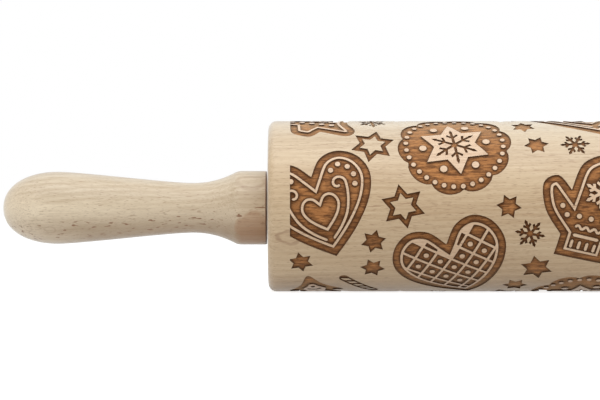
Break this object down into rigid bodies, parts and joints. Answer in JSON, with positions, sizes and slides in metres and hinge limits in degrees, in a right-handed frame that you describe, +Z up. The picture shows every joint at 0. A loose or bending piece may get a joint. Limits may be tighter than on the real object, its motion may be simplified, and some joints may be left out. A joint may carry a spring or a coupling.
{
  "type": "embossed rolling pin",
  "caption": "Beech rolling pin whose engraved roller presses a biscuit pattern into dough and turns freely on a dowel between two turned handles.",
  "frame": {"origin": "on the table, under the middle of the roller", "axes": "+X along the pin, +Z up from the table, -Y towards the picture's camera"},
  "size_m": [0.4282, 0.063, 0.063],
  "materials": {
    "engraved_beech": "sanded bare beech with a laser-burnt engraving",
    "turned_beech": "turned and sanded bare beech",
    "dowel_beech": "plain beech dowel"
  },
  "bodies": {
    "roller": {"roller": "engraved_beech"},
    "spindle": {"axle": "dowel_beech", "handle_left": "turned_beech", "handle_right": "turned_beech"}
  },
  "joints": [
    {"name": "spindle_turn", "type": "hinge", "parent": "roller", "child": "spindle", "pos_m": [0, 0, 0.0309], "axis": [1, 0, 0], "continuous": true}
  ]
}
